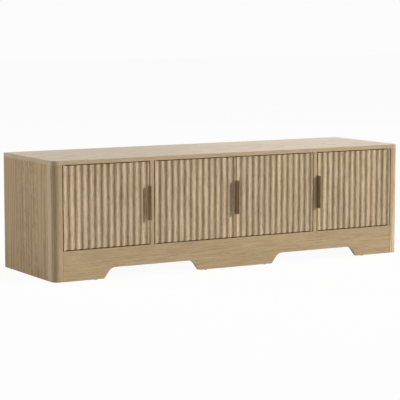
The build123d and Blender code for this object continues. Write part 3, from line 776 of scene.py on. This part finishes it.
@dataclass(frozen=True)
class Fastening:
    """Where one round fitting stands: its head's outer face, the way that looks, and its sizes."""

    head: Vector
    outward: Vector
    length: float
    radius: float

    END_WITHIN = 0.0002

    @classmethod
    def read(cls, points: list[Vector]) -> "Fastening":
        """Finds a fitting's axis and its wider end.

        Args:
            points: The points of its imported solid.

        Returns:
            The fitting's place.
        """
        low = Vector(map(min, zip(*points)))
        high = Vector(map(max, zip(*points)))
        span = high - low
        axis = cls._odd_one(span)
        middle = (low + high) / 2
        ends = {}
        for sign, level in ((-1, low[axis]), (1, high[axis])):
            near = [point for point in points if abs(point[axis] - level) < cls.END_WITHIN]
            ends[sign] = max(cls._from_axis(point, middle, axis) for point in near)
        sign = max(ends, key=ends.get)
        outward = Vector([sign if index == axis else 0 for index in range(3)])
        return cls(middle + outward * span[axis] / 2, outward, span[axis], max(ends.values()))

    @staticmethod
    def _odd_one(span: Vector) -> int:
        """The axis along which a round fitting's box differs from its other two sides."""
        pairs = {2: abs(span[0] - span[1]), 0: abs(span[1] - span[2]), 1: abs(span[2] - span[0])}
        return min(pairs, key=pairs.get)

    @staticmethod
    def _from_axis(point: Vector, middle: Vector, axis: int) -> float:
        """A point's distance from the fitting's axis.

        Args:
            point: The point.
            middle: A point on the axis.
            axis: The number of the axis that it runs along.

        Returns:
            The distance in metres.
        """
        away = point - middle
        away[axis] = 0
        return away.length

    def facing(self, side: Vector) -> "Fastening":
        """The same fitting with its head at the end that looks to a side.

        Args:
            side: The direction of that side.

        Returns:
            The fitting's place.
        """
        if self.outward.dot(side) >= 0:
            return self
        return replace(self, head=self.head - self.outward * self.length, outward=-self.outward)

    def place(self) -> Matrix:
        """The matrix that sets a fitting's zero height and its up at this head."""
        turn = Vector((0, 0, 1)).rotation_difference(self.outward).to_matrix().to_4x4()
        return Matrix.Translation(self.head) @ turn


@dataclass
class Screws:
    """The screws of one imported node, with cross recesses in their heads."""

    node: str
    body: str
    form: HeadForm
    shank: float = 0.00175
    head_height: float = 0.0019
    point: float = 0.004

    # From the rim down: shares of the head's radius and of its height.
    PAN_HEAD = ((0.80, 0.0), (0.93, 0.18), (1.0, 0.5), (1.0, 1.0))
    # From the rim down: shares of the head's radius, and depths in metres.
    FLAT_HEAD = ((0.97, 0.0), (1.0, 0.0001), (1.0, 0.0002))
    NECK_DEPTH = 1.02
    TIP_RADIUS = 0.2
    RECESS_REACH = 0.62
    RECESS_HALF_WIDTH = 0.13
    RECESS_DEPTH = 0.8

    def build(self, wardrobe: Wardrobe) -> None:
        """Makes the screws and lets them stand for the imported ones.

        Args:
            wardrobe: Where the finishes are kept.
        """
        turned = TurnedMesh(f"{self.node}_cut")
        for points in solids_of(self.node):
            spot = Fastening.read(points)
            recess = CrossRecess(
                reach=spot.radius * self.RECESS_REACH,
                half_width=spot.radius * self.RECESS_HALF_WIDTH,
                depth=self.head_height * self.RECESS_DEPTH,
            )
            turned.add(self._profile(spot), spot.place(), recess)
        turned.piece(self.body, self.node, wardrobe.of(ZINC))

    def _profile(self, spot: Fastening) -> Outline:
        """The screw's outline from its head's rim to its tip.

        Args:
            spot: The screw's place and sizes.

        Returns:
            Radius and height along the outline.
        """
        wide, deep = spot.radius, self.head_height
        if self.form is HeadForm.PAN:
            head = [(wide * out, -deep * down) for out, down in self.PAN_HEAD]
        else:
            head = [(wide * out, -down) for out, down in self.FLAT_HEAD]
        neck = [(self.shank, -deep * self.NECK_DEPTH)]
        tip = [(self.shank, self.point - spot.length), (self.shank * self.TIP_RADIUS, -spot.length)]
        return head + neck + tip


@dataclass
class CamDiscs:
    """The cam discs that pull the boards together, each with a cross slot and a dished face."""

    node: str = "cam_discs"
    body: str = CARCASS
    segments: int = 32
    sides_from: float = 0.6
    slot_depth: float = 0.003
    slot_taper: float = 0.8

    # From the dish outwards: shares of the disc's radius, and heights in metres.
    FACE = ((0.86, -0.0004), (0.92, 0.0), (0.97, 0.0), (1.0, -0.0003))
    SLOT_REACH = 0.55
    SLOT_HALF_WIDTH = 0.11

    def build(self, wardrobe: Wardrobe) -> None:
        """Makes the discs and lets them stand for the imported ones.

        Args:
            wardrobe: Where the finishes are kept.
        """
        turned = TurnedMesh(f"{self.node}_cut", segments=self.segments)
        for points in solids_of(self.node):
            spot = Fastening.read(points)
            spot = spot.facing(self._open_side(spot.head))
            wide = spot.radius
            recess = CrossRecess(
                reach=wide * self.SLOT_REACH,
                half_width=wide * self.SLOT_HALF_WIDTH,
                depth=self.slot_depth,
                taper=self.slot_taper,
            )
            face = [(wide * out, height) for out, height in self.FACE]
            turned.add(face + [(wide, -spot.length)], spot.place(), recess)
        turned.piece(self.body, self.node, wardrobe.of(ZINC))

    def _open_side(self, head: Vector) -> Vector:
        """The way that a disc's bore opens: down from the floor board, or into the outer bay."""
        away = copysign(1.0, head.x)
        return Vector((-away if abs(head.x) > self.sides_from else away, 0.0, -1.0))


@dataclass
class Carcass:
    """The fixed case: top, sides, rounded posts, dividers, floor, aprons, backs and shelves."""

    side_leaf: float = 0.115
    side_leaf_from: float = 0.016
    side_shift: Span = (7.8, 24.5)
    top_leaf: float = 0.172
    top_leaf_from: float = -0.0755
    back_leaf: float = 0.150
    side_pale: Tone = Tone(190, 164, 128)
    side_deep: Tone = Tone(164, 136, 101)
    # Left post, then right post: the right post's paler, whiter tones are painted sheen for light
    # glancing off that corner.
    post_pale_and_right_sheen: tuple[Tone, Tone] = (Tone(190, 167, 132), Tone(205, 185, 152))
    post_deep_and_right_sheen: tuple[Tone, Tone] = (Tone(163, 139, 104), Tone(179, 157, 123))
    inner_pale: Tone = Tone(189, 167, 134)
    inner_deep: Tone = Tone(167, 144, 111)

    def dress(self, wardrobe: Wardrobe) -> None:
        """Gives every board of the case its own cut of oak.

        Args:
            wardrobe: Where the finishes are kept.
        """
        for node, finish in (self._outer() | self._inner()).items():
            wardrobe.dress(node, finish)

    def _outer(self) -> dict[str, OakFinish]:
        """Cuts the boards that show with the doors shut.

        Returns:
            The finish of each node.
        """
        cuts = {
            "top_panel": OakFinish(
                "oak_top", Axis.X, shift=0.7, leaf=self.top_leaf, leaf_from=self.top_leaf_from,
                dash=0.15, gloss=0.5),
            "front_apron": OakFinish(
                "oak_front_apron", Axis.X, pith=(0.18, -0.02), lean=(0.2, 0.1), shift=2.3,
                tint=0.98, contrast=0.7, ring_share=0.12, cloud=0.04, dash=0.18),
        }
        for number, side in enumerate(("left", "right")):
            cuts[f"{side}_side_panel"] = OakFinish(
                f"oak_{side}_side", Axis.Z, lean=(0.06, 0.04), ring_stretch=0.05, ring_share=0.2,
                shift=self.side_shift[number], leaf=self.side_leaf, leaf_from=self.side_leaf_from,
                leaf_step=0.03, leaf_dashes=(0.0, 1.0), contrast=1.5, cloud=0.02, dash=0.5,
                dash_scale=(30.0, 170.0, 170.0), streak_scale=(1.6, 120.0, 120.0), gloss=0.04,
                pale=self.side_pale, deep=self.side_deep)
            # The right post's oak is paler and whiter than the left's: that difference is painted
            # sheen, not a different timber.
            cuts[f"{side}_corner_post"] = OakFinish(
                f"oak_{side}_post", Axis.Z, pith=(0.18, 0.9), lean=(0.05, 0.05), shift=5.3 + number,
                dash=0.12, pale=self.post_pale_and_right_sheen[number], deep=self.post_deep_and_right_sheen[number],
                roughness=(0.18, 0.26))
            cuts[f"{side}_divider"] = OakFinish(
                f"oak_{side}_divider", Axis.Z, pith=(0.05, 0.4), lean=(0.15, 0.1),
                shift=7.9 + number)
        return cuts

    def _inner(self) -> dict[str, OakFinish]:
        """Cuts the boards inside, underneath and at the back.

        Returns:
            The finish of each node.
        """
        tones = {"pale": self.inner_pale, "deep": self.inner_deep}
        cuts = {
            "bottom_panel": OakFinish(
                "oak_bottom", Axis.X, shift=11.2, leaf=self.top_leaf, **tones),
            "rear_apron": OakFinish(
                "oak_rear_apron", Axis.X, pith=(0.2, -0.02), shift=13.4, **tones),
        }
        for number, bay in enumerate(("left", "centre", "right")):
            cuts[f"{bay}_shelf"] = OakFinish(
                f"oak_{bay}_shelf", Axis.X, shift=17.3 + number, leaf=self.top_leaf, **tones)
            cuts[f"{bay}_back_panel"] = OakFinish(
                f"oak_{bay}_back", Axis.Z, shift=23.7 + number, leaf=self.back_leaf,
                leaf_across=Axis.Z, **tones)
        return cuts


@dataclass
class CaseFittings:
    """What holds the case together and lets it stand."""

    divider_shank: float = 0.0025
    divider_head: float = 0.0028

    def build(self, wardrobe: Wardrobe) -> None:
        """Makes the cut fittings of the case and dresses the plain ones.

        Args:
            wardrobe: Where the finishes are kept.
        """
        CamDiscs().build(wardrobe)
        divider = {"shank": self.divider_shank, "head_height": self.divider_head}
        Screws("back_panel_screws", CARCASS, HeadForm.FLAT).build(wardrobe)
        Screws("divider_screws", CARCASS, HeadForm.FLAT, **divider).build(wardrobe)
        Screws("frame_hinge_screws", CARCASS, HeadForm.FLAT).build(wardrobe)
        Screws("catch_screws", CARCASS, HeadForm.PAN).build(wardrobe)
        for node in ("cam_bolts", "shelf_pins", "frame_hinge_leaves"):
            wardrobe.dress(node, ZINC)
        for node in ("floor_glides", "catch_housings"):
            wardrobe.dress(node, NYLON)
        wardrobe.dress("catch_magnets", MAGNET)
        for node in ("apron_dowels", "glue_blocks"):
            wardrobe.dress(node, BeechFinish(f"beech_{node}", Axis.X))


@dataclass
class DoorLeaf:
    """One fluted door with its pull, hinge leaves and strike plate."""

    number: int
    pith: Span
    lean: Span
    shift: float
    pale: Tone = Tone(205, 185, 155)
    deep: Tone = Tone(160, 135, 100)
    dash: float = 0.40
    dash_scale: Triple = (27.0, 240.0, 240.0)
    ring_share: float = 0.22

    @property
    def body(self) -> str:
        """The body that the door turns with."""
        return f"door_{self.number}"

    def build(self, wardrobe: Wardrobe) -> None:
        """Dresses the door and makes its screws.

        Args:
            wardrobe: Where the finishes are kept.
        """
        oak = OakFinish(
            f"oak_{self.body}", Axis.Z, pith=self.pith, lean=self.lean, shift=self.shift,
            pale=self.pale, deep=self.deep, dash=self.dash, dash_scale=self.dash_scale,
            ring_share=self.ring_share)
        wardrobe.dress(f"{self.body}_panel", oak)
        wardrobe.dress(f"{self.body}_pull", BRONZE)
        for part in ("hinge_leaves", "strike_plate"):
            wardrobe.dress(f"{self.body}_{part}", ZINC)
        Screws(f"{self.body}_pull_screws", self.body, HeadForm.PAN).build(wardrobe)
        Screws(f"{self.body}_hinge_screws", self.body, HeadForm.FLAT).build(wardrobe)
        Screws(f"{self.body}_strike_screw", self.body, HeadForm.FLAT).build(wardrobe)


def direction(azimuth: float, elevation: float) -> Vector:
    """The way from the cabinet to a place round it.

    Args:
        azimuth: Degrees to the right of straight in front.
        elevation: Degrees above the floor.

    Returns:
        A direction of length 1.
    """
    turn, rise = radians(azimuth), radians(elevation)
    return Vector((sin(turn) * cos(rise), -cos(turn) * cos(rise), sin(rise)))


@dataclass(frozen=True)
class Lamp:
    """A soft box: its place round the cabinet, its size and power, and if gloss shows it."""

    name: str
    azimuth: float
    elevation: float
    distance: float
    size: Span
    watts: float
    mirrored: bool = False

    def build(self, aim: Vector) -> None:
        """Hangs the soft box and turns it to the cabinet.

        Args:
            aim: The point that it faces.
        """
        away = direction(self.azimuth, self.elevation)
        data = bpy.data.lights.new(self.name, "AREA")
        data.shape = "ELLIPSE"
        data.size, data.size_y = self.size
        data.energy = self.watts
        made = bpy.data.objects.new(self.name, data)
        made.location = aim + away * self.distance
        made.rotation_euler = (-away).to_track_quat("-Z", "Y").to_euler()
        made.visible_camera = False
        made.visible_glossy = self.mirrored
        bpy.context.scene.collection.objects.link(made)


@dataclass
class Studio:
    """A pale floor, a white surround, soft boxes and the camera at the photograph's angle."""

    camera_azimuth: float = -30.19
    camera_elevation: float = 6.545
    camera_distance: float = 7.1959
    camera_target: Vector = field(default_factory=lambda: Vector((-0.1867, -0.2461, 0.3142)))
    lens: float = 146.56
    sight: float = 200.0
    floor_half: float = 30.0
    floor_colour: Colour = (0.82, 0.82, 0.82, 1)
    floor_roughness: float = 0.9
    floor_glow: float = 0.95
    surround_light: float = 0.20
    surround_seen: float = 0.97
    aim: Vector = field(default_factory=lambda: Vector((0.0, 0.0, 0.25)))

    LAMPS = (
        Lamp("key_box", azimuth=52, elevation=21, distance=26.0, size=(2.2, 2.2), watts=6080),
        Lamp("side_box", azimuth=-130, elevation=9, distance=9.0, size=(1.0, 2.0), watts=315),
        Lamp("top_box", azimuth=75, elevation=76, distance=6.0, size=(3.0, 2.0), watts=114),
        Lamp("back_box", azimuth=130, elevation=8, distance=9.0, size=(7.0, 3.0), watts=28,
             mirrored=True),
    )

    def build(self) -> None:
        """Sets up the floor, the light and the camera."""
        bpy.context.scene.view_settings.view_transform = "Standard"
        self._camera()
        self._floor()
        self._surround()
        for lamp in self.LAMPS:
            lamp.build(self.aim)

    def _camera(self) -> None:
        """Stands the camera where the photograph was taken from."""
        data = bpy.data.cameras.new("camera")
        data.lens = self.lens
        data.clip_end = self.sight
        away = direction(self.camera_azimuth, self.camera_elevation)
        made = bpy.data.objects.new("camera", data)
        made.location = self.camera_target + away * self.camera_distance
        made.rotation_euler = (-away).to_track_quat("-Z", "Y").to_euler()
        bpy.context.scene.collection.objects.link(made)
        bpy.context.scene.camera = made

    def _seen(self, tree: bpy.types.NodeTree) -> Socket:
        """A switch for what is looked at, straight or in a reflection.

        Args:
            tree: The tree being built.

        Returns:
            An output that is 1 for rays from the camera, from gloss and through glass.
        """
        path = tree.nodes.new("ShaderNodeLightPath")
        total = path.outputs["Is Camera Ray"]
        for kind in ("Is Glossy Ray", "Is Transmission Ray"):
            step = tree.nodes.new("ShaderNodeMath")
            step.operation = Sum.MOST.value
            tree.links.new(total, step.inputs[0])
            tree.links.new(path.outputs[kind], step.inputs[1])
            total = step.outputs[0]
        return total

    def _floor(self) -> None:
        """Lays a pale floor that looks white and still takes a light shadow."""
        shape = bmesh.new()
        bmesh.ops.create_grid(shape, x_segments=2, y_segments=2, size=self.floor_half)
        data = bpy.data.meshes.new("studio_floor")
        shape.to_mesh(data)
        shape.free()
        sheet = ShaderSheet("floor_paper")
        sheet.surface.inputs["Base Color"].default_value = self.floor_colour
        sheet.surface.inputs["Roughness"].default_value = self.floor_roughness
        sheet.surface.inputs["Specular IOR Level"].default_value = 0.0
        glow = sheet.node("ShaderNodeEmission")
        blend = sheet.node("ShaderNodeMixShader")
        share = sheet.maths(Sum.MULTIPLY, self._seen(sheet.tree), self.floor_glow)
        sheet.feed(blend.inputs[0], share)
        sheet.feed(blend.inputs[1], sheet.surface.outputs[0])
        sheet.feed(blend.inputs[2], glow.outputs[0])
        sheet.feed(sheet.tree.nodes["Material Output"].inputs["Surface"], blend.outputs[0])
        data.materials.append(sheet.material)
        floor = bpy.data.objects.new("studio_floor", data)
        bpy.context.scene.collection.objects.link(floor)

    def _surround(self) -> None:
        """Puts an even white light all round, seen as pale as the far floor."""
        world = bpy.data.worlds.new("white_surround")
        world.use_nodes = True
        bpy.context.scene.world = world
        tree = world.node_tree
        strength = tree.nodes.new("ShaderNodeMapRange")
        strength.inputs["To Min"].default_value = self.surround_light
        strength.inputs["To Max"].default_value = self.surround_seen
        tree.links.new(self._seen(tree), strength.inputs["Value"])
        background = tree.nodes["Background"]
        background.inputs["Color"].default_value = WHITE
        tree.links.new(strength.outputs["Result"], background.inputs["Strength"])


DOORS = (
    DoorLeaf(1, pith=(0.20, -0.62), lean=(0.30, 0.08), shift=31.3),
    DoorLeaf(2, pith=(0.21, -0.26), lean=(-0.34, 0.05), shift=37.1),
    DoorLeaf(3, pith=(0.19, 0.22), lean=(0.38, -0.06), shift=41.9),
    DoorLeaf(4, pith=(0.22, 0.60), lean=(-0.30, 0.10), shift=47.2),
)


def main() -> None:
    """Builds the cabinet's looks in order."""
    logging.basicConfig(level=logging.INFO, format="%(message)s")
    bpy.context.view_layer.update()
    wardrobe = Wardrobe()
    Carcass().dress(wardrobe)
    CaseFittings().build(wardrobe)
    for door in DOORS:
        door.build(wardrobe)
    Studio().build()


if __name__ == "__main__":
    main()
